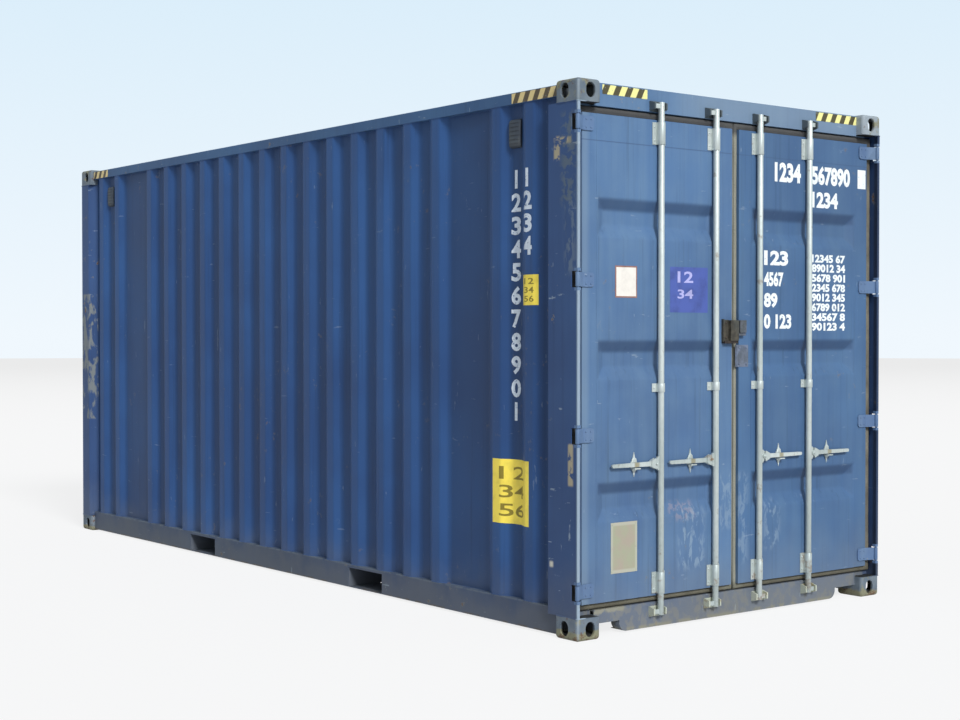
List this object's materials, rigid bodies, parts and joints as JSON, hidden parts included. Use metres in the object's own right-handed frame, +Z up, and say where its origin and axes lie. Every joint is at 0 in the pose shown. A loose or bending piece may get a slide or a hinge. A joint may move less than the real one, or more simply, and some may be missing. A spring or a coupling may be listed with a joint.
{
  "type": "shipping container",
  "caption": "High steel freight box with corrugated walls, corner castings, fork pockets and a pair of end doors held by upright lock bars.",
  "frame": {"origin": "centre of the base rectangle of the whole container, on the ground plane under its bottom corner castings", "axes": "+X along the container towards its doors, +Y across it to the right of someone outside who faces the doors, +Z up"},
  "size_m": [6.058, 2.438, 2.896],
  "materials": {
    "blue_paint": "weathered semi-gloss blue container paint with scuffs and rust spots",
    "casting_paint": "cast steel corners, blue paint worn through to rust",
    "galvanised_steel": "dull zinc coating, stained at the feet",
    "gasket_rubber": "weathered door rubber",
    "rusty_steel": "rusty dark steel",
    "grey_plastic": "faded moulded vent cover",
    "floor_wood": "worn plywood boards"
  },
  "bodies": {
    "frame": {"castings_top": "casting_paint", "castings_bottom": "casting_paint", "top_side_rails": "blue_paint", "bottom_side_rails": "blue_paint", "cross_members": "blue_paint", "fork_pockets": "blue_paint", "floor": "floor_wood", "sill": "blue_paint", "header": "blue_paint", "end_rails": "blue_paint", "door_posts": "blue_paint", "door_post_channels": "blue_paint", "hinge_pins": "blue_paint", "end_posts": "blue_paint", "side_wall_left": "blue_paint", "side_wall_right": "blue_paint", "end_wall": "blue_paint", "roof": "blue_paint", "ventilators": "grey_plastic", "cam_keepers": "galvanised_steel"},
    "door_left": {"door_left_stiles": "blue_paint", "door_left_rails": "blue_paint", "door_left_panel": "blue_paint", "door_left_gasket": "gasket_rubber", "door_left_hinges": "blue_paint", "door_left_bar_guides": "galvanised_steel", "door_left_catches": "galvanised_steel", "door_left_lock_box": "rusty_steel"},
    "door_right": {"door_right_stiles": "blue_paint", "door_right_rails": "blue_paint", "door_right_panel": "blue_paint", "door_right_gasket": "gasket_rubber", "door_right_hinges": "blue_paint", "door_right_bar_guides": "galvanised_steel", "door_right_catches": "galvanised_steel", "door_right_lock_box": "rusty_steel"},
    "lock_bar_1": {"lock_bar_1": "galvanised_steel"},
    "handle_1": {"handle_1": "galvanised_steel"},
    "lock_bar_2": {"lock_bar_2": "galvanised_steel"},
    "handle_2": {"handle_2": "galvanised_steel"},
    "lock_bar_3": {"lock_bar_3": "galvanised_steel"},
    "handle_3": {"handle_3": "galvanised_steel"},
    "lock_bar_4": {"lock_bar_4": "galvanised_steel"},
    "handle_4": {"handle_4": "galvanised_steel"}
  },
  "joints": [
    {"name": "door_left_hinge", "type": "hinge", "parent": "frame", "child": "door_left", "pos_m": [3.016, -1.206, 1.461], "axis": [0, 0, 1], "range_deg": [-270, 0]},
    {"name": "door_right_hinge", "type": "hinge", "parent": "frame", "child": "door_right", "pos_m": [3.016, 1.206, 1.461], "axis": [0, 0, -1], "range_deg": [-270, 0]},
    {"name": "lock_bar_1_turn", "type": "hinge", "parent": "door_left", "child": "lock_bar_1", "pos_m": [3.005, -0.6, 1.448], "axis": [0, 0, 1], "range_deg": [0, 100]},
    {"name": "handle_1_lift", "type": "hinge", "parent": "lock_bar_1", "child": "handle_1", "pos_m": [3.005, -0.638, 0.89], "axis": [-1, 0, 0], "range_deg": [0, 45]},
    {"name": "lock_bar_2_turn", "type": "hinge", "parent": "door_left", "child": "lock_bar_2", "pos_m": [3.005, -0.178, 1.448], "axis": [0, 0, 1], "range_deg": [0, 100]},
    {"name": "handle_2_lift", "type": "hinge", "parent": "lock_bar_2", "child": "handle_2", "pos_m": [3.005, -0.216, 0.89], "axis": [-1, 0, 0], "range_deg": [0, 45]},
    {"name": "lock_bar_3_turn", "type": "hinge", "parent": "door_right", "child": "lock_bar_3", "pos_m": [3.005, 0.178, 1.448], "axis": [0, 0, -1], "range_deg": [0, 100]},
    {"name": "handle_3_lift", "type": "hinge", "parent": "lock_bar_3", "child": "handle_3", "pos_m": [3.005, 0.216, 0.89], "axis": [1, 0, 0], "range_deg": [0, 45]},
    {"name": "lock_bar_4_turn", "type": "hinge", "parent": "door_right", "child": "lock_bar_4", "pos_m": [3.005, 0.6, 1.448], "axis": [0, 0, -1], "range_deg": [0, 100]},
    {"name": "handle_4_lift", "type": "hinge", "parent": "lock_bar_4", "child": "handle_4", "pos_m": [3.005, 0.638, 0.89], "axis": [1, 0, 0], "range_deg": [0, 45]}
  ]
}
